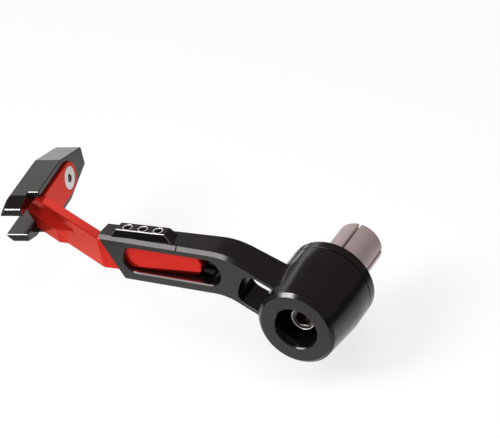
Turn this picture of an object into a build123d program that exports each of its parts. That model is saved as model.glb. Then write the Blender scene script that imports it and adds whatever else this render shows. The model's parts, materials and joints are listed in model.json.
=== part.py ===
"""Brake lever guard: a handlebar-end clamp, a machined arm, a sliding tip and an end paddle.

The frame has its origin on the handlebar's axis, where the spacer ring meets the bar's end.
+X runs into the bar, +Y runs forward along the straight part of the arm and +Z is up.
All sizes are in millimetres and degrees.
"""

import os
from math import cos, radians, sin, tan

from build123d import *

os.makedirs("parts", exist_ok=True)

# Hexagon keys
hex_sides = 6

# Fits
slide_clearance = 0.1
running_clearance = 0.06
seat_clearance = 0.05

# Handlebar fixing
ring_diameter = 32.0
ring_thickness = 4.1
ring_edge = 0.4
collet_diameter = 17.0
collet_length = 23.8
collet_slot_count = 4
collet_slot_width = 0.9
collet_slot_length = 17.4
collet_slot_turn = 11.0
collet_edge = 0.5
collet_seat_depth = 0.5
collet_relief = 0.5
collet_mouth_wall = 1.1
collet_neck_diameter = 11.2
spigot_diameter = 13.0
spigot_in_collet = 10.0
spigot_in_ring = 2.0
wedge_length = 10.0
wedge_inset = 0.6

# Clamp bolt
bolt_diameter = 6.0
bolt_head_diameter = 10.0
bolt_head_height = 6.0
bolt_head_edge = 0.6
bolt_key = 5.0
bolt_key_depth = 3.0
bolt_head_inset = 6.2

# Hub of the arm
hub_length = 26.0
hub_straight = 8.0
hub_face_diameter = 28.2
hub_edge = 1.1
hub_bore_diameter = 15.6
hub_bore_edge = 0.4

# Arm
arm_setback = 9.1
arm_thickness = 8.2
arm_taper = 3.2
arm_length = 78.7
arm_end_slant = 8.0
arm_width = 16.9
arm_rise = 14.25
arm_edge = 1.2
arm_corner_radius = 1.2
neck_angle = 26.8
neck_width = 16.4
neck_offset = 0.55
neck_top_radius = 26.0
neck_bottom_radius = 18.0
neck_blend_radius = 3.0

# Windows of the arm
window_start = 29.1
window_length = 40.4
window_width = 10.1
window_edge = 0.4
neck_window_reach = 24.6
neck_window_corner = 4.5
neck_top_strut = 2.6
neck_bottom_strut = 1.3

# Pad with the set screws
pad_length = 19.8
pad_width = 4.6
pad_height = 3.0
pad_end_slope = 2.4
pad_side_slope = 0.7
pad_from_end = 8.1
set_screw_count = 3
set_screw_pitch = 6.2
set_screw_diameter = 4.0
set_screw_key = 2.0
set_screw_key_depth = 2.0
set_screw_inset = 0.3
set_screw_edge = 0.4

# Slider
slider_width = 12.5
slider_thickness = 3.8
socket_floor = 2.9
socket_start = 34.0
socket_corner_radius = 4.0
tongue_length = 41.3
bend_gap = 1.3
bend_angle = 27.1
run_length = 42.1
rib_height = 1.66
rib_start = 28.6
ramp_length_bottom = 3.4
ramp_length_top = 11.4
groove_start = 18.0
groove_depth = 0.6
groove_floor = 3.5
groove_lip = 0.8
groove_slope = 2.5
groove_overcut = 1.0
key_reach = 4.2
key_shoulder = 0.6
round_end_land = 0.1
bend_outer_radius = 3.0
bend_inner_radius = 1.5
flange_corner_radius = 1.2
flange_lean = 10.0
flange_thickness = 5.1
flange_proud = 1.1

# Paddle and its screw
paddle_width = 17.8
paddle_depth = 12.8
paddle_edge = 2.3
paddle_before_corner = 2.2
paddle_prong_reach = 9.0
paddle_prong_bevel = 6.7
paddle_prong_end_width = 13.9
paddle_nose_start = 22.9
paddle_nose_end = 41.2
paddle_nose_width = 7.5
paddle_slot_width = 7.9
paddle_slot_end = 19.6
slot_end_land = 0.1
screw_from_corner = 22.3
screw_diameter = 5.0
screw_head_diameter = 9.4
screw_key = 3.0
screw_key_depth = 2.2
screw_thread_length = 7.0
screw_inset = 0.1
countersink_slope = 45.0

# Half section plane through the handlebar's axis, with its radius downward
turning_plane = Plane(origin=(0, 0, 0), x_dir=(1, 0, 0), z_dir=(0, 1, 0))

# Places along the handlebar's axis
hub_inner_x = -ring_thickness
hub_outer_x = hub_inner_x - hub_length
bolt_head_x = hub_outer_x + bolt_head_inset
bolt_seat_x = bolt_head_x + bolt_head_height
wedge_end_x = collet_length - wedge_inset
wedge_start_x = wedge_end_x - wedge_length

# Radii along the handlebar's axis
ring_radius = ring_diameter / 2
collet_radius = collet_diameter / 2
collet_foot_radius = collet_radius - collet_relief
collet_mouth_radius = collet_radius - collet_mouth_wall
collet_neck_radius = collet_neck_diameter / 2
bolt_radius = bolt_diameter / 2
bolt_hole_radius = bolt_radius + running_clearance
spigot_radius = spigot_diameter / 2

# The arm's places
arm_back_x = hub_inner_x - arm_setback
arm_top_z = arm_rise + arm_width / 2
arm_bottom_z = arm_rise - arm_width / 2
arm_tip_x = arm_back_x - arm_thickness

# The slider's places
tongue_inner_x = arm_back_x - socket_floor - slide_clearance
tongue_outer_x = tongue_inner_x - slider_thickness
tongue_mid_x = (tongue_inner_x + tongue_outer_x) / 2
slider_top_z = arm_rise + slider_width / 2
slider_bottom_z = arm_rise - slider_width / 2
bend_y = arm_length + bend_gap
tongue_end_y = bend_y - tongue_length
run_direction = Vector(sin(radians(bend_angle)), cos(radians(bend_angle)), 0)
run_outward = Vector(-cos(radians(bend_angle)), sin(radians(bend_angle)), 0)
bend_outer = Vector(tongue_outer_x, bend_y, 0)
bend_inner_shift = slider_thickness * tan(radians(bend_angle) / 2)
bend_inner = Vector(tongue_inner_x, bend_y - bend_inner_shift, 0)
flange_direction = Vector(cos(radians(flange_lean)), sin(radians(flange_lean)), 0)
flange_forward = Vector(-sin(radians(flange_lean)), cos(radians(flange_lean)), 0)
flange_corner = bend_inner + run_direction * run_length
screw_foot = flange_corner + flange_direction * screw_from_corner + Vector(0, 0, arm_rise)
paddle_corner = flange_corner - flange_direction * paddle_before_corner + flange_forward * flange_proud
paddle_plane = Plane(
    origin=paddle_corner + Vector(0, 0, arm_rise),
    x_dir=flange_direction,
    z_dir=flange_forward,
)
recess_depth = flange_thickness - flange_proud
screw_at = paddle_before_corner + screw_from_corner
screw_plane = Plane(origin=screw_foot, x_dir=flange_direction, z_dir=flange_forward)
screw_radius = screw_diameter / 2
screw_head_radius = screw_head_diameter / 2
screw_head_height = (screw_head_radius - screw_radius) / tan(radians(countersink_slope))
countersink_depth = screw_head_height + screw_inset
slot_corner_radius = paddle_slot_width / 2 - slot_end_land


def neck_point(along, across):
    """Returns (y, z) at a distance along the neck's line and a distance to its upper side."""
    turn = radians(neck_angle)
    return (along * cos(turn) - across * sin(turn), along * sin(turn) + across * cos(turn))


def neck_meets(across, height):
    """Returns (y, z) where the line beside the neck reaches a height."""
    turn = radians(neck_angle)
    along = (height - across * cos(turn)) / sin(turn)
    return neck_point(along, across)


def line_crossing(start_a, direction_a, start_b, direction_b):
    """Returns the point where two lines in the XY plane cross."""
    gap = start_b - start_a
    turn = direction_a.X * direction_b.Y - direction_a.Y * direction_b.X
    along = (gap.X * direction_b.Y - gap.Y * direction_b.X) / turn
    return start_a + direction_a * along


# Spacer ring between the hub and the handlebar's end
with BuildPart() as spacer_ring:
    with BuildSketch(Plane.YZ.offset(hub_inner_x)):
        Circle(ring_radius)
    extrude(amount=ring_thickness)
    chamfer(spacer_ring.faces().sort_by(Axis.X)[-1].outer_wire().edges(), ring_edge)
    with BuildSketch(Plane.YZ.offset(hub_inner_x)):
        Circle(bolt_hole_radius)
    extrude(amount=ring_thickness, mode=Mode.SUBTRACT)
    with BuildSketch(Plane.YZ):
        Circle(spigot_radius + seat_clearance)
    extrude(amount=-spigot_in_ring, mode=Mode.SUBTRACT)
    with BuildSketch(Plane.YZ):
        Circle(collet_radius + seat_clearance)
    extrude(amount=-collet_seat_depth, mode=Mode.SUBTRACT)
spacer_ring.part.label = "spacer_ring"
export_step(spacer_ring.part, "parts/spacer_ring.step")

# Turned sleeve that centres the collet on the ring
with BuildPart() as bar_spigot:
    with BuildSketch(Plane.YZ.offset(-spigot_in_ring)):
        Circle(spigot_radius)
        Circle(bolt_hole_radius, mode=Mode.SUBTRACT)
    extrude(amount=spigot_in_ring + spigot_in_collet)
bar_spigot.part.label = "bar_spigot"
export_step(bar_spigot.part, "parts/bar_spigot.step")

# Split collet that spreads inside the handlebar, with its foot let into the ring
spigot_seat_x = spigot_in_collet + seat_clearance
with BuildPart() as bar_collet:
    with BuildSketch(Plane.XY):
        with BuildLine():
            Polyline(
                (-collet_seat_depth, spigot_radius + seat_clearance),
                (-collet_seat_depth, collet_foot_radius),
                (0, collet_foot_radius),
                (0, collet_radius),
                (collet_length, collet_radius),
                (collet_length, collet_mouth_radius),
                (wedge_start_x, collet_neck_radius),
                (spigot_seat_x, collet_neck_radius),
                (spigot_seat_x, spigot_radius + seat_clearance),
                close=True,
            )
        make_face()
    revolve(axis=Axis.X)
    chamfer(bar_collet.faces().sort_by(Axis.X)[-1].outer_wire().edges(), collet_edge)
    with BuildSketch(Plane.YZ.offset(collet_length)):
        with PolarLocations(collet_radius, collet_slot_count, start_angle=collet_slot_turn):
            Rectangle(collet_radius, collet_slot_width)
    extrude(amount=-collet_slot_length, mode=Mode.SUBTRACT)
bar_collet.part.label = "bar_collet"
export_step(bar_collet.part, "parts/bar_collet.step")

# Threaded cone that the bolt draws into the collet
with BuildPart() as wedge_nut:
    mouth_slope = (collet_mouth_radius - collet_neck_radius) / (collet_length - wedge_start_x)
    wedge_big_radius = collet_neck_radius + mouth_slope * wedge_length - seat_clearance
    with BuildSketch(Plane.XY):
        with BuildLine():
            Polyline(
                (wedge_start_x, bolt_hole_radius),
                (wedge_start_x, collet_neck_radius - seat_clearance),
                (wedge_end_x, wedge_big_radius),
                (wedge_end_x, bolt_hole_radius),
                close=True,
            )
        make_face()
    revolve(axis=Axis.X)
wedge_nut.part.label = "wedge_nut"
export_step(wedge_nut.part, "parts/wedge_nut.step")

# Socket head bolt through the hub, the ring, the sleeve and the cone
with BuildPart() as clamp_bolt:
    with BuildSketch(Plane.YZ.offset(bolt_head_x)):
        Circle(bolt_head_diameter / 2)
    extrude(amount=bolt_head_height)
    chamfer(clamp_bolt.faces().sort_by(Axis.X)[0].edges(), bolt_head_edge)
    with BuildSketch(Plane.YZ.offset(bolt_seat_x)):
        Circle(bolt_radius)
    extrude(amount=wedge_end_x - bolt_seat_x)
    with BuildSketch(Plane.YZ.offset(bolt_head_x)):
        RegularPolygon(bolt_key / 2, hex_sides, major_radius=False)
    extrude(amount=bolt_key_depth, mode=Mode.SUBTRACT)
clamp_bolt.part.label = "clamp_bolt"
export_step(clamp_bolt.part, "parts/clamp_bolt.step")

# Conical hub, turned about the handlebar's axis
with BuildPart() as hub_form:
    with BuildSketch(turning_plane):
        with BuildLine():
            Polyline(
                (hub_inner_x, 0),
                (hub_inner_x, ring_radius),
                (hub_inner_x - hub_straight, ring_radius),
                (hub_outer_x, hub_face_diameter / 2),
                (hub_outer_x, 0),
                close=True,
            )
        make_face()
    revolve(axis=Axis.X)
    chamfer(hub_form.faces().sort_by(Axis.X)[0].edges(), hub_edge)

# Edges of the neck, across its line
neck_bottom = neck_offset - neck_width / 2
neck_top = neck_offset + neck_width / 2
lower_bend = neck_meets(neck_bottom, arm_bottom_z)
upper_bend = neck_meets(neck_top, arm_top_z)

# Opening between the hub and the straight part of the arm, clear of the hub
neck_line = Axis((0, 0, 0), (cos(radians(neck_angle)), sin(radians(neck_angle)), 0))
with BuildPart() as neck_window:
    with BuildSketch(Plane.YZ.offset(hub_outer_x)) as window_outline:
        with BuildLine():
            Polyline(
                neck_point(0, neck_bottom + neck_bottom_strut),
                neck_point(neck_window_reach, neck_bottom + neck_bottom_strut),
                neck_point(neck_window_reach, neck_top - neck_top_strut),
                neck_point(0, neck_top - neck_top_strut),
                close=True,
            )
        make_face()
        fillet(window_outline.vertices().sort_by(neck_line)[-2:], neck_window_corner)
    extrude(amount=hub_length)
    add(hub_form.part, mode=Mode.SUBTRACT)

# Machined arm with its hub, windows, socket and screw pad
lower_tip = (arm_length - arm_end_slant, arm_bottom_z)
upper_tip = (arm_length, arm_top_z)
arm_face = Plane(
    origin=(arm_tip_x, arm_length, 0),
    x_dir=(tan(radians(arm_taper)), 1, 0),
    z_dir=(-1, tan(radians(arm_taper)), 0),
)
pad_centre_y = arm_length - pad_from_end - pad_length / 2
pad_top_z = arm_top_z + pad_height
socket_inner_x = arm_back_x - socket_floor
socket_height = slider_thickness + 2 * slide_clearance
socket_width = slider_width + 2 * slide_clearance
set_screw_radius = set_screw_diameter / 2
set_screw_top_z = pad_top_z - set_screw_inset
set_screw_length = set_screw_top_z - slider_top_z - seat_clearance
with BuildPart() as guard_arm:
    with BuildSketch(Plane.YZ.offset(arm_back_x)) as outline:
        with BuildLine():
            Polyline(
                neck_point(0, neck_bottom),
                lower_bend,
                lower_tip,
                upper_tip,
                upper_bend,
                neck_point(0, neck_top),
                close=True,
            )
        make_face()
        fillet(outline.vertices().sort_by_distance(lower_bend)[0], neck_bottom_radius)
        fillet(outline.vertices().sort_by_distance(upper_bend)[0], neck_top_radius)
        fillet(outline.vertices().sort_by_distance(lower_tip)[0], arm_corner_radius)
    extrude(amount=-hub_length)
    split(bisect_by=arm_face, keep=Keep.BOTTOM)
    outer_edges = guard_arm.faces().sort_by(Axis.X)[0].edges()
    chamfer(outer_edges.sort_by_distance((arm_tip_x, *upper_bend))[:3], arm_edge)
    add(hub_form.part)
    seam_edges = guard_arm.edges(Select.NEW)
    side_seams = seam_edges.filter_by(GeomType.HYPERBOLA).sort_by(SortBy.LENGTH)[-2:]
    fillet(side_seams, neck_blend_radius)
    add(neck_window.part, mode=Mode.SUBTRACT)
    # Raised pad over the tongue
    with BuildSketch(Plane.XY.offset(arm_top_z)):
        with Locations((tongue_mid_x, pad_centre_y)):
            Rectangle(pad_width + 2 * pad_side_slope, pad_length + 2 * pad_end_slope)
    with BuildSketch(Plane.XY.offset(pad_top_z)):
        with Locations((tongue_mid_x, pad_centre_y)):
            Rectangle(pad_width, pad_length)
    loft()
    # Socket for the tongue, open at the arm's end
    with BuildSketch(Plane.YZ.offset(socket_inner_x)) as socket_outline:
        with Locations((socket_start, arm_rise)):
            Rectangle(arm_length, socket_width, align=(Align.MIN, Align.CENTER))
        fillet(socket_outline.vertices().sort_by(Axis.X)[:2], socket_corner_radius)
    extrude(amount=-socket_height, mode=Mode.SUBTRACT)
    # Window over the tongue
    with BuildSketch(Plane.YZ.offset(socket_inner_x)):
        with Locations((window_start + window_length / 2, arm_rise)):
            SlotOverall(window_length, window_width)
    extrude(amount=-hub_length, mode=Mode.SUBTRACT)
    chamfer(guard_arm.edges(Select.NEW).filter_by(arm_face), window_edge)
    # Threaded holes for the set screws
    with BuildSketch(Plane.XY.offset(pad_top_z)):
        with Locations((tongue_mid_x, pad_centre_y)):
            with GridLocations(0, set_screw_pitch, 1, set_screw_count):
                Circle(set_screw_radius + seat_clearance)
    extrude(amount=slider_top_z - pad_top_z, mode=Mode.SUBTRACT)
    # Counterbore and clearance hole for the bolt
    with BuildSketch(Plane.YZ.offset(hub_outer_x)):
        Circle(hub_bore_diameter / 2)
    extrude(amount=bolt_seat_x - hub_outer_x, mode=Mode.SUBTRACT)
    chamfer(guard_arm.edges(Select.LAST).group_by(Axis.X)[0], hub_bore_edge)
    with BuildSketch(Plane.YZ.offset(bolt_seat_x)):
        Circle(bolt_hole_radius)
    extrude(amount=hub_inner_x - bolt_seat_x, mode=Mode.SUBTRACT)
guard_arm.part.label = "guard_arm"
export_step(guard_arm.part, "parts/guard_arm.step")

# Headless screws that clamp the tongue
with BuildPart() as set_screws:
    with BuildSketch(Plane.XY.offset(slider_top_z + seat_clearance)):
        with Locations((tongue_mid_x, pad_centre_y)):
            with GridLocations(0, set_screw_pitch, 1, set_screw_count):
                Circle(set_screw_radius)
    extrude(amount=set_screw_length)
    screw_tops = set_screws.faces().filter_by(Axis.Z).group_by(Axis.Z)[-1]
    chamfer(screw_tops.edges(), set_screw_edge)
    with BuildSketch(Plane.XY.offset(set_screw_top_z)):
        with Locations((tongue_mid_x, pad_centre_y)):
            with GridLocations(0, set_screw_pitch, 1, set_screw_count):
                RegularPolygon(set_screw_key / 2, hex_sides, major_radius=False)
    extrude(amount=-set_screw_key_depth, mode=Mode.SUBTRACT)
set_screws.part.label = "set_screws"
export_step(set_screws.part, "parts/set_screws.step")

# Slider: tongue, bent run with a rib and a groove, and the flange that holds the paddle
flange_front = flange_corner + flange_forward * flange_thickness
flange_reach = screw_from_corner + slider_width / 2
flange_front_plane = Plane(origin=flange_front, x_dir=flange_direction, z_dir=flange_forward)
run_front = line_crossing(bend_outer, run_direction, flange_front, flange_direction)
middle_height = Vector(0, 0, arm_rise)
round_end_radius = slider_width / 2 - round_end_land
rib_foot = bend_outer + run_direction * rib_start
rib_plane = Plane(
    origin=rib_foot + run_outward * rib_height + middle_height,
    x_dir=run_direction,
    z_dir=run_outward,
)
key_half_width = paddle_slot_width / 2 - slide_clearance
key_end = (run_front - rib_foot).length + key_reach
groove_plane = Plane(
    origin=bend_outer + run_direction * groove_start + Vector(0, 0, slider_top_z),
    x_dir=(0, 0, -1),
    z_dir=run_direction,
)
with BuildPart() as slider_arm:
    with BuildSketch(Plane.XY.offset(slider_bottom_z)):
        with BuildLine():
            Polyline(
                (tongue_inner_x, tongue_end_y),
                bend_inner,
                flange_corner,
                flange_corner + flange_direction * flange_reach,
                flange_front + flange_direction * flange_reach,
                run_front,
                bend_outer,
                (tongue_outer_x, tongue_end_y),
                close=True,
            )
        make_face()
    extrude(amount=slider_width)
    # Rib, raised by a ramp that is longer at the upper edge
    for height, ramp_length in ((slider_bottom_z, ramp_length_bottom), (slider_top_z, ramp_length_top)):
        with BuildSketch(Plane.XY.offset(height)):
            with BuildLine():
                Polyline(
                    rib_foot - run_direction * ramp_length,
                    rib_foot + run_outward * rib_height,
                    rib_foot + run_outward * rib_height + run_direction * run_length,
                    rib_foot + run_direction * run_length,
                    close=True,
                )
            make_face()
    loft(ruled=True)
    split(bisect_by=flange_front_plane, keep=Keep.BOTTOM)
    # Key that reaches on between the paddle's prongs
    with BuildSketch(rib_plane):
        with BuildLine():
            Polyline(
                (0, -key_half_width),
                (key_end, -key_half_width),
                (key_end, key_shoulder),
                (key_end - key_reach, key_half_width),
                (0, key_half_width),
                close=True,
            )
        make_face()
    extrude(amount=-slider_thickness - rib_height)
    # Groove beside the rib
    with BuildSketch(groove_plane):
        with BuildLine():
            slope_run = groove_slope / (groove_depth + rib_height)
            floor_end = groove_lip + groove_floor
            slope_top = floor_end + groove_slope + slope_run * groove_overcut
            Polyline(
                (-groove_overcut, 0),
                (groove_lip, 0),
                (groove_lip, -groove_depth),
                (floor_end, -groove_depth),
                (slope_top, rib_height + groove_overcut),
                (-groove_overcut, rib_height + groove_overcut),
                close=True,
            )
        make_face()
    extrude(amount=run_length, mode=Mode.SUBTRACT)
    # Rounded tongue, bend and flange end
    fillet(slider_arm.edges().filter_by(Axis.X).group_by(Axis.Y)[0], round_end_radius)
    for corner, radius in (
        (bend_outer, bend_outer_radius),
        (bend_inner, bend_inner_radius),
        (flange_corner, flange_corner_radius),
    ):
        upright_edges = slider_arm.edges().filter_by(Axis.Z)
        fillet(upright_edges.sort_by_distance(corner + middle_height)[0], radius)
    flange_edges = slider_arm.edges().filter_by(Axis(flange_corner, flange_forward))
    fillet(flange_edges.group_by(Axis(flange_corner, flange_direction))[-1], round_end_radius)
    # Countersunk hole for the paddle's screw
    with BuildSketch(screw_plane):
        Circle(screw_radius + seat_clearance)
    extrude(amount=flange_thickness, mode=Mode.SUBTRACT)
    with BuildSketch(screw_plane):
        Circle(screw_head_radius + screw_inset + seat_clearance)
    extrude(amount=countersink_depth, taper=countersink_slope, mode=Mode.SUBTRACT)
slider_arm.part.label = "slider_arm"
export_step(slider_arm.part, "parts/slider_arm.step")

# Forked paddle at the tip
recess_half_width = slider_width / 2 + slide_clearance
prong_end = -paddle_prong_reach
depth_line = Axis(paddle_plane.origin, flange_forward)
with BuildPart() as end_paddle:
    with BuildSketch(paddle_plane):
        with BuildLine():
            Polyline(
                (prong_end, -paddle_prong_end_width / 2),
                (prong_end + paddle_prong_bevel, -paddle_width / 2),
                (paddle_nose_start, -paddle_width / 2),
                (paddle_nose_end, -paddle_nose_width / 2),
                (paddle_nose_end, paddle_nose_width / 2),
                (paddle_nose_start, paddle_width / 2),
                (prong_end + paddle_prong_bevel, paddle_width / 2),
                (prong_end, paddle_prong_end_width / 2),
                close=True,
            )
        make_face()
    extrude(amount=paddle_depth)
    front_face = end_paddle.faces().sort_by(depth_line)[-1]
    chamfer(front_face.edges().filter_by(Axis.Z, reverse=True), paddle_edge)
    # Recess for the flange, with its walls cut away beside the prongs
    with BuildSketch(paddle_plane):
        Rectangle(screw_at, 2 * recess_half_width, align=(Align.MIN, Align.CENTER))
        with Locations((screw_at, 0)):
            Circle(recess_half_width)
        Rectangle(paddle_prong_reach, paddle_width, align=(Align.MAX, Align.CENTER))
    extrude(amount=recess_depth, mode=Mode.SUBTRACT)
    # Slot between the prongs
    with BuildSketch(paddle_plane):
        with Locations((paddle_slot_end, 0)):
            Rectangle(
                paddle_slot_end + paddle_prong_reach,
                paddle_slot_width,
                align=(Align.MAX, Align.CENTER),
            )
    extrude(amount=paddle_depth, mode=Mode.SUBTRACT)
    slot_bottom = paddle_plane.from_local_coords((paddle_slot_end, 0, paddle_depth))
    slot_corners = end_paddle.edges().filter_by(depth_line).sort_by_distance(slot_bottom)[:2]
    fillet(slot_corners, slot_corner_radius)
    # Threaded hole for the screw
    with BuildSketch(paddle_plane):
        with Locations((screw_at, 0)):
            Circle(screw_radius + seat_clearance)
    extrude(amount=recess_depth + screw_thread_length + seat_clearance, mode=Mode.SUBTRACT)
end_paddle.part.label = "end_paddle"
export_step(end_paddle.part, "parts/end_paddle.step")

# Countersunk screw through the flange into the paddle
with BuildPart() as paddle_screw:
    with BuildSketch(screw_plane.offset(screw_inset)):
        Circle(screw_head_radius)
    extrude(amount=screw_head_height, taper=countersink_slope)
    with BuildSketch(screw_plane.offset(screw_inset)):
        Circle(screw_radius)
    extrude(amount=flange_thickness - screw_inset + screw_thread_length)
    with BuildSketch(screw_plane.offset(screw_inset)):
        RegularPolygon(screw_key / 2, hex_sides, major_radius=False)
    extrude(amount=screw_key_depth, mode=Mode.SUBTRACT)
paddle_screw.part.label = "paddle_screw"
export_step(paddle_screw.part, "parts/paddle_screw.step")
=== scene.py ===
"""Looks of the brake lever guard, laid out as an add-on and run as a script."""

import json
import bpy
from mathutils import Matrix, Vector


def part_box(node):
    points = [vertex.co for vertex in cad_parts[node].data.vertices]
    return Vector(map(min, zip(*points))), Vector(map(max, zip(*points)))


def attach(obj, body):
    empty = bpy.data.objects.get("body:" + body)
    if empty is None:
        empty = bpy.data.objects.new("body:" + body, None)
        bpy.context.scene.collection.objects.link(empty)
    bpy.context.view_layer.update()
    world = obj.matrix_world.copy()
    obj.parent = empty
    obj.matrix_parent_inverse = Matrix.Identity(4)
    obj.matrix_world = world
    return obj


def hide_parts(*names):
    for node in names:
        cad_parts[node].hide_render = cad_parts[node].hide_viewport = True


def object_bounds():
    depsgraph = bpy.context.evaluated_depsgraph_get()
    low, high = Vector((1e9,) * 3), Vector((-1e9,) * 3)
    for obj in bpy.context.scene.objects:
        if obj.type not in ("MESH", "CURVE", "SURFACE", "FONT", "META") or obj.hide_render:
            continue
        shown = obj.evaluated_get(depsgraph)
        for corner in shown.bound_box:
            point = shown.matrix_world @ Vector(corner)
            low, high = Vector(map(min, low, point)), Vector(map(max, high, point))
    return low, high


bl_info = {
    "name": "Brake Lever Guard",
    "version": (1, 0, 0),
    "blender": (4, 5, 0),
    "location": "3D View > Sidebar > Lever Guard",
    "description": "Gives the packed brake lever guard its machined edges, screws, finishes and studio",
    "category": "Object",
}

from math import atan2, radians, tau

import bmesh
import bpy
from bpy.props import FloatProperty, FloatVectorProperty, PointerProperty
from mathutils import Matrix, Quaternion, Vector

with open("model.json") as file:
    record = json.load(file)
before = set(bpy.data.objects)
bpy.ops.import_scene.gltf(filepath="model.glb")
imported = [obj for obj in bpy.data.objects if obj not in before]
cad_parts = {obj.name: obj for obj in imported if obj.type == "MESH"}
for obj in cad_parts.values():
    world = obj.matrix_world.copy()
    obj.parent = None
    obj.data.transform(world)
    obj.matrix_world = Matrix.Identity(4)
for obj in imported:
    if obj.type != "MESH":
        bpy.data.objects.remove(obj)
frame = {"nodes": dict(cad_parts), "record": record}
cad_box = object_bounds()

MM = 0.001
BODY_NODES = frame["record"]["behaviour"]["bodies"]
NODE_BODY = {node: body for body, nodes in BODY_NODES.items() for node in nodes}
NODE_SLOT = {part["node"]: part["material_slot"] for part in frame["record"]["subparts"]}


class GuardFinishes(bpy.types.PropertyGroup):
    """Colours, sheens and edges of the guard's finishes"""

    black_colour: FloatVectorProperty(
        name="Black",
        description="Colour of the black anodised pieces",
        subtype="COLOR",
        min=0,
        max=1,
        default=(0.0046, 0.004, 0.0039),
    )
    black_roughness: FloatProperty(
        name="Black roughness",
        description="How matt the black anodising is",
        subtype="FACTOR",
        min=0,
        max=1,
        default=0.17,
    )
    red_colour: FloatVectorProperty(
        name="Red",
        description="Colour of the red anodised slider",
        subtype="COLOR",
        min=0,
        max=1,
        default=(0.62, 0.018, 0.011),
    )
    red_roughness: FloatProperty(
        name="Red roughness",
        description="How matt the metal under the red anodising is",
        subtype="FACTOR",
        min=0,
        max=1,
        default=0.17,
    )
    collet_colour: FloatVectorProperty(
        name="Collet",
        description="Colour of the bare turned alloy",
        subtype="COLOR",
        min=0,
        max=1,
        default=(0.53, 0.435, 0.43),
    )
    collet_roughness: FloatProperty(
        name="Collet roughness",
        description="How matt the turned alloy is",
        subtype="FACTOR",
        min=0,
        max=1,
        default=0.5,
    )
    steel_colour: FloatVectorProperty(
        name="Steel",
        description="Colour of the plated screws",
        subtype="COLOR",
        min=0,
        max=1,
        default=(0.66, 0.64, 0.62),
    )
    steel_roughness: FloatProperty(
        name="Steel roughness",
        description="How matt the plated screws are",
        subtype="FACTOR",
        min=0,
        max=1,
        default=0.2,
    )
    dark_colour: FloatVectorProperty(
        name="Dark steel",
        description="Colour of the blackened bolt and set screws",
        subtype="COLOR",
        min=0,
        max=1,
        default=(0.10, 0.082, 0.079),
    )
    dark_roughness: FloatProperty(
        name="Dark steel roughness",
        description="How matt the blackened bolt and set screws are",
        subtype="FACTOR",
        min=0,
        max=1,
        default=0.3,
    )
    arm_edge: FloatProperty(
        name="Arm edge",
        description="Size of the chamfers that break the arm's edges",
        unit="LENGTH",
        min=0,
        default=0.2 * MM,
    )
    slider_edge: FloatProperty(
        name="Slider edge",
        description="Size of the chamfers that break the slider's edges",
        unit="LENGTH",
        min=0,
        default=0.3 * MM,
    )
    paddle_edge: FloatProperty(
        name="Paddle edge",
        description="Size of the chamfers that break the paddle's edges",
        unit="LENGTH",
        min=0,
        default=0.24 * MM,
    )
    ring_edge: FloatProperty(
        name="Ring edge",
        description="Size of the chamfers that break the spacer ring's edges",
        unit="LENGTH",
        min=0,
        default=0.06 * MM,
    )
    ring_seam: FloatProperty(
        name="Ring seam",
        description="Width of the fine gap between the hub and the spacer ring",
        unit="LENGTH",
        min=0,
        default=0.3 * MM,
    )
    turned_edge: FloatProperty(
        name="Turned edge",
        description="Size of the chamfers that break the edges of the turned pieces and screws",
        unit="LENGTH",
        min=0,
        default=0.2 * MM,
    )


class GuardStage(bpy.types.PropertyGroup):
    """Camera, floor and lamps of the guard's studio"""

    camera_place: FloatVectorProperty(
        name="Camera",
        description="Where the camera stands",
        subtype="TRANSLATION",
        unit="LENGTH",
        default=(-0.50014, -0.29987, 0.37478),
    )
    camera_target: FloatVectorProperty(
        name="Target",
        description="Point in the middle of the picture",
        subtype="TRANSLATION",
        unit="LENGTH",
        default=(0.01841, 0.04015, 0.00887),
    )
    camera_roll: FloatProperty(
        name="Roll",
        description="Turn of the camera about its line of sight",
        subtype="ANGLE",
        default=radians(-12.2),
    )
    camera_lens: FloatProperty(
        name="Lens",
        description="Focal length in millimetres on a sensor of 36 mm",
        default=143.85,
    )
    floor_colour: FloatVectorProperty(
        name="Floor",
        description="Colour of the floor",
        subtype="COLOR",
        min=0,
        max=1,
        default=(0.93, 0.93, 0.93),
    )
    air_colour: FloatVectorProperty(
        name="Air",
        description="Colour of the dim studio round the lamps",
        subtype="COLOR",
        min=0,
        max=1,
        default=(0.20, 0.172, 0.168),
    )
    key_power: FloatProperty(
        name="Key lamp",
        description="Power of the softbox that lights the bevels, in watts",
        min=0,
        default=2.4,
    )
    back_power: FloatProperty(
        name="Back panel",
        description="Power of the low panel behind the guard, in watts",
        min=0,
        default=0.18,
    )
    tip_power: FloatProperty(
        name="Tip panel",
        description="Power of the high panel that the paddle's top reflects, in watts",
        min=0,
        default=0.15,
    )
    collar_power: FloatProperty(
        name="Collar panel",
        description="Power of the small panel that the ring and the collet reflect, in watts",
        min=0,
        default=0.1,
    )
    strip_power: FloatProperty(
        name="Hub strip",
        description="Power of the strip lamp that lights the hub's front edge, in watts",
        min=0,
        default=0.7,
    )
    prong_power: FloatProperty(
        name="Prong strip",
        description="Power of the small lamp that lights the tips of the prongs, in watts",
        min=0,
        default=0.5,
    )
    top_power: FloatProperty(
        name="Top lamp",
        description="Power of the large lamp over the floor, in watts",
        min=0,
        default=9.0,
    )


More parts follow.
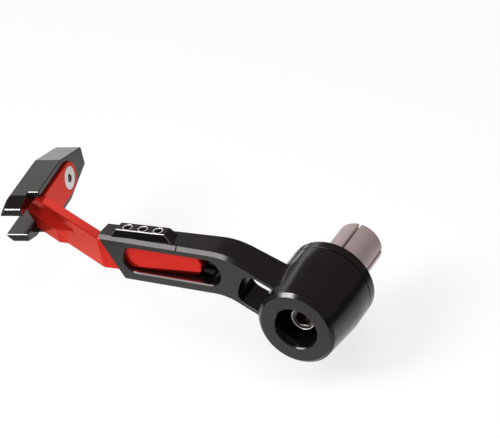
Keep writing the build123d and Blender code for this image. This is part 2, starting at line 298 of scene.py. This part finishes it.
class Socket:
    """One output of a node. Arithmetic on it adds Math nodes to the same tree."""

    def __init__(self, tree, output):
        self.tree = tree
        self.output = output

    @classmethod
    def node(cls, tree, kind, settings=None, values=None, output=0):
        """Adds a node, with its settings first and then the values or links of its sockets."""
        made = tree.nodes.new(kind)
        for name, setting in (settings or {}).items():
            setattr(made, name, setting)
        for name, value in (values or {}).items():
            if isinstance(value, cls):
                tree.links.new(value.output, made.inputs[name])
            else:
                made.inputs[name].default_value = value
        return cls(tree, made.outputs[output]) if len(made.outputs) else made

    def other(self, output):
        """Returns another output of the same node."""
        return Socket(self.tree, self.output.node.outputs[output])

    def maths(self, operation, first, second):
        """Returns a Math node on two values."""
        return Socket.node(self.tree, "ShaderNodeMath", {"operation": operation}, {0: first, 1: second})

    def __add__(self, value):
        return self.maths("ADD", self, value)

    def __radd__(self, value):
        return self.maths("ADD", value, self)

    def __sub__(self, value):
        return self.maths("SUBTRACT", self, value)

    def __rsub__(self, value):
        return self.maths("SUBTRACT", value, self)

    def __mul__(self, value):
        return self.maths("MULTIPLY", self, value)

    def __rmul__(self, value):
        return self.maths("MULTIPLY", value, self)

    def __truediv__(self, value):
        return self.maths("DIVIDE", self, value)

    def __rtruediv__(self, value):
        return self.maths("DIVIDE", value, self)

    def largest(self, value):
        """Returns the larger of two values."""
        return self.maths("MAXIMUM", self, value)

    def smallest(self, value):
        """Returns the smaller of two values."""
        return self.maths("MINIMUM", self, value)


def shade(colour, factor):
    """Returns a colour times a factor, with alpha."""
    return (*(channel * factor for channel in colour), 1)


def noise(tree, place, grain, detail=2):
    """Returns noise from 0 to 1 whose grains are about that many metres wide."""
    return Socket.node(
        tree,
        "ShaderNodeTexNoise",
        values={"Vector": place, "Scale": 1 / grain, "Detail": detail},
    )


def mixed(tree, factor, first, second):
    """Returns a colour between two colours."""
    return Socket.node(
        tree,
        "ShaderNodeMix",
        {"data_type": "RGBA"},
        {"Factor": factor, "A": first, "B": second},
        "Result",
    )


def bumped(tree, height, depth):
    """Returns the normal of a surface raised by a height from 0 to 1 times a depth in metres."""
    return Socket.node(
        tree,
        "ShaderNodeBump",
        values={"Strength": 1, "Distance": depth, "Height": height},
    )


def finish_tree(name):
    """Returns a new material, its emptied tree and the place on the piece in metres."""
    material = bpy.data.materials.new(name)
    material.use_nodes = True
    tree = material.node_tree
    tree.nodes.clear()
    place = Socket.node(tree, "ShaderNodeTexCoord", output="Object")
    return material, tree, place


def surface(tree, values):
    """Adds the shader of a finish and its output."""
    shader = Socket.node(tree, "ShaderNodeBsdfPrincipled", values=values)
    Socket.node(tree, "ShaderNodeOutputMaterial", values={"Surface": shader})


# Face layer that holds a painted highlight on the lit-side broken edges and the bare rims of the screws'
# beads.
GLINT_AND_RIM_LAYER = "painted_glint_and_bare_rim"


def glint_and_rim_mask(tree):
    """Returns the painted highlight, from 0 to 1, on the broken edges that face the lit side, 1 on the
    bare rims of the screws' beads, and 0 elsewhere.
    """
    return Socket.node(tree, "ShaderNodeAttribute", {"attribute_name": GLINT_AND_RIM_LAYER}, output="Fac")


# A wave texture with a scale of 1 runs through this many radians in a metre.
WAVE_RADIANS = 20


def tool_marks(tree, place, line, pitch, wander):
    """Returns the fine marks that a tool leaves along a line, from 0 to 1, with a pitch in metres."""
    return Socket.node(
        tree,
        "ShaderNodeTexWave",
        {"wave_type": "BANDS", "bands_direction": line, "wave_profile": "SIN"},
        {"Vector": place, "Scale": tau / (WAVE_RADIANS * pitch), **wander},
        "Fac",
    )


FINE_GRAIN = 0.12 * MM
CUTTER_PITCH = 2.2 * MM
CUTTER_WANDER = {"Distortion": 1.5, "Detail": 2, "Detail Scale": 0.3}
LATHE_PITCH = 1.13 * MM
LATHE_WANDER = {"Distortion": 0.4, "Detail": 1, "Detail Scale": 0.2}
# Colour of the painted highlight on the black pieces' broken edges that face the lit side.
GLINT_EDGE_COLOUR = (0.3, 0.29, 0.285, 1)
BLACK_SHEEN = (1, 0.955, 0.945, 1)
RED_SHEEN = (1, 0.6, 0.5, 1)


def black_anodised(name, finishes):
    """Satin black oxide over fine cutter marks, with a painted highlight of bare metal on the broken
    edges that face the lit side.
    """
    material, tree, place = finish_tree(name)
    cloud = noise(tree, place, 9 * MM)
    grain = noise(tree, place, FINE_GRAIN, 3)
    marks = tool_marks(tree, place, "Y", CUTTER_PITCH, CUTTER_WANDER)
    # The painted highlight on the broken edges that face the lit side.
    glint_mask = glint_and_rim_mask(tree)
    flat = mixed(tree, cloud, shade(finishes.black_colour, 0.8), shade(finishes.black_colour, 1.2))
    surface(
        tree,
        {
            "Base Color": mixed(tree, glint_mask, flat, GLINT_EDGE_COLOUR),
            "Metallic": glint_mask * 0.6,
            "Roughness": finishes.black_roughness + (cloud - 0.5) * 0.05 + (grain - 0.5) * 0.05,
            "IOR": 1.5,
            "Specular Tint": BLACK_SHEEN,
            "Normal": bumped(tree, grain + marks * 0.5, 0.0016 * MM),
        },
    )
    return material


def red_anodised(name, finishes):
    """Clear red oxide over satin metal, lighter on the broken edges that face the lit side as a painted
    highlight.
    """
    material, tree, place = finish_tree(name)
    cloud = noise(tree, place, 7 * MM)
    grain = noise(tree, place, FINE_GRAIN, 3)
    # Random tone from the cloud, plus lighter red on the lit-side broken edges as a painted highlight.
    colour = mixed(
        tree,
        cloud * 0.6 + glint_and_rim_mask(tree) * 0.4,
        shade(finishes.red_colour, 0.94),
        (*(min(1, channel * 1.06 + 0.006) for channel in finishes.red_colour), 1),
    )
    surface(
        tree,
        {
            "Base Color": colour,
            "Metallic": 0.65,
            "Roughness": finishes.red_roughness + (cloud - 0.5) * 0.06 + (grain - 0.5) * 0.06,
            "Specular Tint": RED_SHEEN,
            "Normal": bumped(tree, grain, 0.002 * MM),
        },
    )
    return material


def collet_alloy(name, finishes):
    """Bare alloy with the rings that turning leaves."""
    material, tree, place = finish_tree(name)
    cloud = noise(tree, place, 6 * MM)
    rings = tool_marks(tree, place, "X", LATHE_PITCH, LATHE_WANDER)
    colour = mixed(
        tree,
        cloud * 0.7 + rings * 0.3,
        shade(finishes.collet_colour, 0.86),
        shade(finishes.collet_colour, 1.12),
    )
    surface(
        tree,
        {
            "Base Color": colour,
            "Metallic": 0.6,
            "Roughness": finishes.collet_roughness + (cloud - 0.5) * 0.1,
            "Normal": bumped(tree, rings, 0.004 * MM),
        },
    )
    return material


def dark_steel(name, finishes):
    """Blackened steel that handling has worn bright on its rims."""
    material, tree, place = finish_tree(name)
    cloud = noise(tree, place, 0.8 * MM, 3)
    rim = glint_and_rim_mask(tree)
    dark = mixed(tree, cloud, shade(finishes.dark_colour, 0.8), shade(finishes.dark_colour, 1.3))
    surface(
        tree,
        {
            "Base Color": mixed(tree, rim, dark, shade(finishes.steel_colour, 1.3)),
            "Metallic": 1 - rim * 0.6,
            "Roughness": finishes.dark_roughness + (cloud - 0.5) * 0.14,
            "Normal": bumped(tree, cloud, 0.002 * MM),
        },
    )
    return material


def screw_steel(name, finishes):
    """Bright plated steel, mottled a little."""
    material, tree, place = finish_tree(name)
    cloud = noise(tree, place, 1.2 * MM, 3)
    colour = mixed(tree, cloud, shade(finishes.steel_colour, 0.82), shade(finishes.steel_colour, 1.1))
    surface(
        tree,
        {
            "Base Color": colour,
            "Metallic": 1,
            "Roughness": finishes.steel_roughness + (cloud - 0.5) * 0.12,
            "Normal": bumped(tree, cloud, 0.002 * MM),
        },
    )
    return material


FINISH_MAKERS = {
    "black_anodised": black_anodised,
    "red_anodised": red_anodised,
    "collet_alloy": collet_alloy,
    "dark_steel": dark_steel,
    "screw_steel": screw_steel,
}


def finish_of(node, finishes):
    """Returns the finish of a node's slot, made once and named apart from the frame's own material."""
    slot = NODE_SLOT[node]
    name = f"{slot}_finish"
    return bpy.data.materials.get(name) or FINISH_MAKERS[slot](name, finishes)


def settle(name, mesh, node, finishes):
    """Puts a mesh in the scene as the dressed form of a node."""
    piece = bpy.data.objects.new(name, mesh)
    bpy.context.scene.collection.objects.link(piece)
    mesh.materials.clear()
    mesh.materials.append(finish_of(node, finishes))
    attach(piece, NODE_BODY[node])
    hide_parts(node)
    return piece


WELD = 0.002 * MM
TINY_EDGE = 0.06 * MM
FLAT_ANGLE = radians(0.6)
BREAK_ANGLE = radians(50)
SHARP_ANGLE = radians(13)
# Direction of the arm's upper bevel, which faces the key light; broken edges that face it carry a
# painted highlight.
LIT_BEVEL_SIDE = Vector((-0.7, 0, 0.714))
GLINT_FOCUS = 8

# Places in millimetres, each with its reach, where edges lie too close together to be broken.
CROWDED_CORNERS = {
    "guard_arm": (
        (-25.0, 14.5, -1.7, 2.4),
        (-23.8, 6.1, 13.4, 2.4),
        (-13.2, 7.5, 14.0, 2.4),
        (-13.2, 15.8, -0.9, 2.4),
        (-18.1, 54.5, 25.7, 2.15),
        (-18.1, 60.7, 25.7, 2.15),
        (-18.1, 66.9, 25.7, 2.15),
    ),
    "slider_arm": ((-11.65, 95.95, 19.5, 0.8),),
}


def breakable(edge, crowded):
    """Says whether an edge is an outer corner with room round it for its chamfer."""
    if not edge.is_manifold or edge.calc_face_angle_signed() < BREAK_ANGLE:
        return False
    middle = (edge.verts[0].co + edge.verts[1].co) / 2 / MM
    return all((middle - Vector(place)).length > reach for *place, reach in crowded)


def once(parts):
    """Lists each part of a form once, in the order in which it first comes."""
    return list(dict.fromkeys(parts))


def sort_parts(form):
    """Puts the parts of a form in the order of their places, so that each run writes the same mesh."""
    for parts, key in (
        (form.verts, lambda vert: tuple(vert.co)),
        (form.edges, lambda edge: sorted(vert.index for vert in edge.verts)),
        (form.faces, lambda face: sorted(vert.index for vert in face.verts)),
    ):
        for index, part in enumerate(sorted(parts, key=key)):
            part.index = index
        parts.sort()


def bisected(form, faces, place, normal):
    """Cuts faces along a plane and keeps both sides."""
    bmesh.ops.bisect_plane(
        form,
        geom=once(part for face in faces for part in (face, *face.edges, *face.verts)),
        plane_co=place,
        plane_no=normal,
    )


BEAD_WIRE = 0.2 * MM
BEAD_SIDES = 10
BEAD_STEPS = 64


def bead(form, centre, axis, radius):
    """Adds a round bead that stands half out of a screw's face."""
    side = axis.orthogonal().normalized()
    turn = side.cross(axis).to_track_quat("Z", "Y").to_matrix().to_4x4()
    start = Matrix.Translation(centre + side * radius) @ turn
    ring = bmesh.ops.create_circle(form, segments=BEAD_SIDES, radius=BEAD_WIRE, matrix=start)["verts"]
    bmesh.ops.spin(
        form,
        geom=once(part for vert in ring for part in (vert, *vert.link_edges)),
        cent=centre,
        axis=axis,
        angle=tau,
        steps=BEAD_STEPS,
        use_merge=True,
    )


SCORE_PLACE = 45.6 * MM
SCORE_WIDTH = 0.5 * MM
SCORE_DEPTH = 1.0 * MM
SCORE_LEVEL = 20 * MM
BEVEL_MATCH = 0.99
LENGTHWISE = Vector((0, 1, 0))


def scored(form):
    """Cuts the fine groove across the arm's upper bevel, where two passes of the cutter meet."""

    def bevel_faces():
        """Lists the faces of the upper bevel that the groove's middle crosses."""
        return [
            face
            for face in form.faces
            if face.normal.dot(LIT_BEVEL_SIDE) > BEVEL_MATCH
            and min(vert.co.y for vert in face.verts) < SCORE_PLACE
            and max(vert.co.y for vert in face.verts) > SCORE_PLACE
            and face.calc_center_median().z > SCORE_LEVEL
        ]

    for offset in (-SCORE_WIDTH / 2, SCORE_WIDTH / 2):
        bisected(form, bevel_faces(), LENGTHWISE * (SCORE_PLACE + offset), LENGTHWISE)
    groove = [
        face
        for face in bevel_faces()
        if abs(face.calc_center_median().y - SCORE_PLACE) < SCORE_WIDTH / 2
    ]
    sunk = bmesh.ops.extrude_face_region(form, geom=groove)["geom"]
    bmesh.ops.translate(
        form,
        vec=LIT_BEVEL_SIDE * -SCORE_DEPTH,
        verts=[part for part in sunk if isinstance(part, bmesh.types.BMVert)],
    )
    bmesh.ops.delete(form, geom=groove, context="FACES_ONLY")


TONGUE_HIDDEN = 70.1 * MM
TONGUE_END = 38.7 * MM
RELIEF_AT_END = 3.3 * MM
RELIEF_AT_ROOT = 2.1 * MM
RELIEF_DEPTH = 2.1 * MM


def relieved_tongue(form):
    """Takes the lower outer edge off the tongue, along the length that shows in the arm's window."""
    tongue = [vert.co for vert in form.verts if vert.co.y < TONGUE_HIDDEN]
    outer = min(place.x for place in tongue)
    lowest = min(place.z for place in tongue)
    at_end = Vector((outer, TONGUE_END, lowest + RELIEF_AT_END))
    at_root = Vector((outer, TONGUE_HIDDEN, lowest + RELIEF_AT_ROOT))
    beneath = Vector((outer + RELIEF_DEPTH, TONGUE_END, lowest))
    down = (at_root - at_end).cross(beneath - at_end).normalized()
    down *= -1 if down.z > 0 else 1

    def tongue_faces():
        """Lists the faces of the tongue."""
        return [face for face in form.faces if face.calc_center_median().y < TONGUE_HIDDEN]

    bisected(form, form.faces, LENGTHWISE * TONGUE_HIDDEN, LENGTHWISE)
    bisected(form, tongue_faces(), at_end, down)
    waste = [face for face in tongue_faces() if (face.calc_center_median() - at_end).dot(down) > 0]
    bmesh.ops.delete(form, geom=waste, context="FACES")
    rim = once(vert for edge in form.edges if edge.is_boundary for vert in edge.verts)
    relief = [vert for vert in rim if abs((vert.co - at_end).dot(down)) < WELD]
    middle = sum((vert.co for vert in relief), Vector()) / len(relief)
    along = (at_root - at_end).normalized()
    side = down.cross(along)
    relief.sort(key=lambda vert: atan2((vert.co - middle).dot(side), (vert.co - middle).dot(along)))
    form.faces.new(relief)
    form.faces.new([vert for vert in rim if abs(vert.co.y - TONGUE_HIDDEN) < WELD])
    bmesh.ops.recalc_face_normals(form, faces=form.faces)


def machined(node, name, finishes, edge_break, glint_strength=0, beads=(), before=None, reshape=None):
    """Dresses a node with its own form, its outer corners broken, a painted highlight of bare metal on
    the broken corners that face the lit side, and any beads.
    """
    mesh = bpy.data.meshes.new(name)
    form = bmesh.new()
    form.from_mesh(frame["nodes"][node].data)
    bmesh.ops.remove_doubles(form, verts=form.verts, dist=WELD)
    bmesh.ops.dissolve_limit(form, angle_limit=FLAT_ANGLE, verts=form.verts, edges=form.edges)
    bmesh.ops.dissolve_degenerate(form, dist=TINY_EDGE, edges=form.edges)
    form.normal_update()
    if before:
        before(form)
    layer = form.faces.layers.float.new(GLINT_AND_RIM_LAYER)
    crowded = CROWDED_CORNERS.get(node, ())
    broken = bmesh.ops.bevel(
        form,
        geom=[edge for edge in form.edges if breakable(edge, crowded)],
        offset=edge_break,
        offset_type="OFFSET",
        segments=1,
        profile=0.5,
        affect="EDGES",
        clamp_overlap=False,
        loop_slide=False,
    )
    form.normal_update()
    for face in broken["faces"]:
        # Painted highlight: chamfers that face the lit side get the bare-metal mark, strongest where
        # they face it squarely.
        face[layer] = glint_strength * max(0, face.normal.dot(LIT_BEVEL_SIDE)) ** GLINT_FOCUS
    bmesh.ops.dissolve_degenerate(form, dist=WELD, edges=form.edges)
    if reshape:
        reshape(form)
    bare = set(form.faces)
    for centre, axis, radius in beads:
        bead(form, centre, axis, radius)
    for face in form.faces:
        if face not in bare:
            face[layer] = 1
    form.normal_update()
    for face in form.faces:
        face.smooth = True
    for edge in form.edges:
        edge.smooth = edge.is_manifold and edge.calc_face_angle() < SHARP_ANGLE
    sort_parts(form)
    form.to_mesh(mesh)
    form.free()
    mesh.attributes.remove(mesh.attributes["custom_normal"])
    piece = settle(name, mesh, node, finishes)
    weighted = piece.modifiers.new("face_weighted_normals", "WEIGHTED_NORMAL")
    weighted.keep_sharp = True


class GUARD_OT_arm(bpy.types.Operator):
    """Dress the machined arm with its hub"""

    bl_idname = "lever_guard.arm"
    bl_label = "Guard Arm"

    def execute(self, context):
        finishes = context.scene.guard_finishes
        machined("guard_arm", "machined_arm", finishes, finishes.arm_edge, glint_strength=1, reshape=scored)
        return {"FINISHED"}


class GUARD_OT_slider(bpy.types.Operator):
    """Dress the ribbed slider"""

    bl_idname = "lever_guard.slider"
    bl_label = "Slider"

    def execute(self, context):
        finishes = context.scene.guard_finishes
        machined(
            "slider_arm",
            "ribbed_slider",
            finishes,
            finishes.slider_edge,
            glint_strength=1,
            before=relieved_tongue,
        )
        return {"FINISHED"}


class GUARD_OT_paddle(bpy.types.Operator):
    """Dress the forked paddle"""

    bl_idname = "lever_guard.paddle"
    bl_label = "End Paddle"

    def execute(self, context):
        finishes = context.scene.guard_finishes
        machined("end_paddle", "forked_paddle", finishes, finishes.paddle_edge, glint_strength=1)
        return {"FINISHED"}


class GUARD_OT_bar_fixing(bpy.types.Operator):
    """Dress the ring, the sleeve, the collet and its cone"""

    bl_idname = "lever_guard.bar_fixing"
    bl_label = "Bar Fixing"

    def execute(self, context):
        finishes = context.scene.guard_finishes

        def relieved(form):
            """Moves the ring's front back by the seam."""
            front = min(vert.co.x for vert in form.verts)
            for vert in form.verts:
                if vert.co.x < front + 2 * finishes.ring_edge:
                    vert.co.x += finishes.ring_seam

        machined("spacer_ring", "turned_ring", finishes, finishes.ring_edge, reshape=relieved)
        for node, name in (
            ("bar_spigot", "centring_sleeve"),
            ("bar_collet", "split_collet"),
            ("wedge_nut", "collet_cone"),
        ):
            machined(node, name, finishes, finishes.turned_edge)
        return {"FINISHED"}


BOLT_BEAD = 0.83
SET_SCREW_BEAD = 0.86
SET_SCREWS = 3


class GUARD_OT_screws(bpy.types.Operator):
    """Dress the bolt and the screws"""

    bl_idname = "lever_guard.screws"
    bl_label = "Screws"

    def execute(self, context):
        finishes = context.scene.guard_finishes
        low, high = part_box("clamp_bolt")
        head = Vector((low.x, (low.y + high.y) / 2, (low.z + high.z) / 2))
        bolt_bead = (head, Vector((-1, 0, 0)), (high.y - low.y) / 2 * BOLT_BEAD)
        machined("clamp_bolt", "socket_bolt", finishes, finishes.turned_edge, beads=[bolt_bead])

        low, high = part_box("set_screws")
        radius = (high.x - low.x) / 2
        pitch = (high.y - low.y - 2 * radius) / (SET_SCREWS - 1)
        beads = []
        for index in range(SET_SCREWS):
            top = Vector((low.x + radius, low.y + radius + index * pitch, high.z))
            beads.append((top, Vector((0, 0, 1)), radius * SET_SCREW_BEAD))
        machined("set_screws", "headless_screws", finishes, finishes.turned_edge, beads=beads)

        machined("paddle_screw", "countersunk_screw", finishes, finishes.turned_edge)
        return {"FINISHED"}


def studio_air(colour):
    """Makes a world that is white to the camera and dim to the lamps' light."""
    world = bpy.data.worlds.new("studio_air")
    bpy.context.scene.world = world
    world.use_nodes = True
    tree = world.node_tree
    tree.nodes.clear()
    ray = Socket.node(tree, "ShaderNodeLightPath", output="Is Camera Ray")
    seen = ray.largest(ray.other("Is Transmission Ray"))
    tint = mixed(tree, seen, (*colour, 1), (1, 1, 1, 1))
    air = Socket.node(tree, "ShaderNodeBackground", values={"Color": tint, "Strength": 1})
    Socket.node(tree, "ShaderNodeOutputWorld", values={"Surface": air})


FLOOR_SIZE = 6.0
FLOOR_LIT = 0.08
FLOOR_FADE = 0.1
FAR_FLOOR = (0.06, 0.052, 0.05)
NEAR_GLOW = 0.7
GLOW_GROWTH = 0.5


def white_floor(colour):
    """Makes the floor: pale and lit by the lamps, lifted to white for the camera, more so far off."""
    material, tree, place = finish_tree("pale_floor")
    paint = Socket.node(tree, "ShaderNodeBsdfDiffuse", values={"Color": (*colour, 1)})
    ray = Socket.node(tree, "ShaderNodeLightPath", output="Is Camera Ray")
    seen = ray.largest(ray.other("Is Transmission Ray"))
    mirrored = ray.other("Is Glossy Ray")
    far = Socket.node(tree, "ShaderNodeVectorMath", {"operation": "LENGTH"}, {0: place}, "Value")
    dim = ((far - FLOOR_LIT) / FLOOR_FADE).smallest(1).largest(0) * mirrored
    glow = Socket.node(
        tree,
        "ShaderNodeEmission",
        values={"Color": mixed(tree, dim, (1, 1, 1, 1), (*FAR_FLOOR, 1)), "Strength": 1},
    )
    share = (NEAR_GLOW + far * GLOW_GROWTH).smallest(1) * seen
    floor = Socket.node(
        tree,
        "ShaderNodeMixShader",
        values={0: share.largest(mirrored * (NEAR_GLOW + dim).smallest(1)), 1: paint, 2: glow},
    )
    Socket.node(tree, "ShaderNodeOutputMaterial", values={"Surface": floor})
    return material


UPRIGHT = Vector((0, 0, 1))


def lamp(name, place, aim, size, power, line=None):
    """Adds a softbox that stands at a place and faces a point. Its width lies level, or along a line."""
    data = bpy.data.lights.new(name, "AREA")
    data.shape = "RECTANGLE"
    data.size, data.size_y = size
    data.energy = power
    light = bpy.data.objects.new(name, data)
    bpy.context.scene.collection.objects.link(light)
    light.location = place
    light.rotation_mode = "QUATERNION"
    back = (place - aim).normalized()
    side = UPRIGHT.cross(back) if line is None else line - back * line.dot(back)
    side.normalize()
    light.rotation_quaternion = Matrix((side, back.cross(side), back)).transposed().to_quaternion()
    light.visible_camera = False


KEY_OFFSET = Vector((-0.306, 0.282, 0.432))
KEY_SIZE = (0.35, 0.36)
BACK_PLACE = Vector((0.55, 0.52, 0.03))
BACK_SIZE = (0.42, 0.1)
TIP_PLACE = Vector((0.55, 0.66, 0.445))
TIP_FACING = Vector((-1, 0, 0))
TIP_SIZE = (0.24, 0.23)
COLLAR_PLACE = Vector((0.55, 0.42, 0.27))
COLLAR_SIZE = (0.2, 0.2)
STRIP_PLACE = Vector((-0.381, 0.283, 0.379))
STRIP_LINE = Vector((0.28, 0.873, -0.383))
STRIP_SIZE = (0.28, 0.07)
PRONG_PLACE = Vector((-0.47, 0.254, 0.377))
PRONG_SIZE = (0.1, 0.12)
TOP_OFFSET = Vector((-0.2, -0.5, 1.2))
TOP_SIZE = (1.0, 1.0)


class GUARD_OT_stage(bpy.types.Operator):
    """Set the camera, the floor and the lamps"""

    bl_idname = "lever_guard.stage"
    bl_label = "Stage"

    def execute(self, context):
        scene = context.scene
        stage = scene.guard_stage
        scene.view_settings.view_transform = "Standard"
        studio_air(stage.air_colour)

        mesh = bpy.data.meshes.new("floor")
        form = bmesh.new()
        bmesh.ops.create_grid(form, x_segments=1, y_segments=1, size=FLOOR_SIZE / 2)
        form.to_mesh(mesh)
        form.free()
        mesh.materials.append(white_floor(stage.floor_colour))
        floor = bpy.data.objects.new("floor", mesh)
        scene.collection.objects.link(floor)
        middle_x, middle_y = (cad_box[0].xy + cad_box[1].xy) / 2
        # The floor lies low enough for the arm to hang down after half a turn.
        floor.location = (middle_x, middle_y, -max(cad_box[1].z, -cad_box[0].z))

        camera_data = bpy.data.cameras.new("camera")
        camera_data.lens = stage.camera_lens
        camera = bpy.data.objects.new("camera", camera_data)
        scene.collection.objects.link(camera)
        camera.location = stage.camera_place
        camera.rotation_mode = "QUATERNION"
        sight = Vector(stage.camera_target) - Vector(stage.camera_place)
        roll = Quaternion(UPRIGHT, stage.camera_roll)
        camera.rotation_quaternion = sight.to_track_quat("-Z", "Y") @ roll
        scene.camera = camera

        middle = Vector(stage.camera_target)
        lamp("key_softbox", middle + KEY_OFFSET, middle, KEY_SIZE, stage.key_power)
        lamp("back_panel", BACK_PLACE, middle, BACK_SIZE, stage.back_power)
        lamp("tip_panel", TIP_PLACE, TIP_PLACE + TIP_FACING, TIP_SIZE, stage.tip_power)
        lamp("collar_panel", COLLAR_PLACE, middle, COLLAR_SIZE, stage.collar_power)
        lamp("hub_strip", STRIP_PLACE, middle, STRIP_SIZE, stage.strip_power, STRIP_LINE)
        lamp("prong_strip", PRONG_PLACE, middle, PRONG_SIZE, stage.prong_power)
        lamp("top_lamp", middle + TOP_OFFSET, middle, TOP_SIZE, stage.top_power)
        return {"FINISHED"}


PIECE_OPERATORS = (GUARD_OT_arm, GUARD_OT_slider, GUARD_OT_paddle, GUARD_OT_bar_fixing, GUARD_OT_screws)


class GUARD_PT_sidebar(bpy.types.Panel):
    """Lists the guard's pieces and its stage"""

    bl_idname = "GUARD_PT_sidebar"
    bl_label = "Brake Lever Guard"
    bl_space_type = "VIEW_3D"
    bl_region_type = "UI"
    bl_category = "Lever Guard"

    def draw(self, context):
        column = self.layout.column()
        for operator in (*PIECE_OPERATORS, GUARD_OT_stage):
            column.operator(operator.bl_idname)
        for settings in (context.scene.guard_finishes, context.scene.guard_stage):
            for name in settings.__annotations__:
                column.prop(settings, name)


CLASSES = (GuardFinishes, GuardStage, *PIECE_OPERATORS, GUARD_OT_stage, GUARD_PT_sidebar)


def register():
    for cls in CLASSES:
        bpy.utils.register_class(cls)
    bpy.types.Scene.guard_finishes = PointerProperty(type=GuardFinishes)
    bpy.types.Scene.guard_stage = PointerProperty(type=GuardStage)


def unregister():
    del bpy.types.Scene.guard_stage
    del bpy.types.Scene.guard_finishes
    for cls in reversed(CLASSES):
        bpy.utils.unregister_class(cls)


def main():
    register()
    bpy.ops.lever_guard.arm()
    bpy.ops.lever_guard.slider()
    bpy.ops.lever_guard.paddle()
    bpy.ops.lever_guard.bar_fixing()
    bpy.ops.lever_guard.screws()
    bpy.ops.lever_guard.stage()


if __name__ == "__main__":
    main()
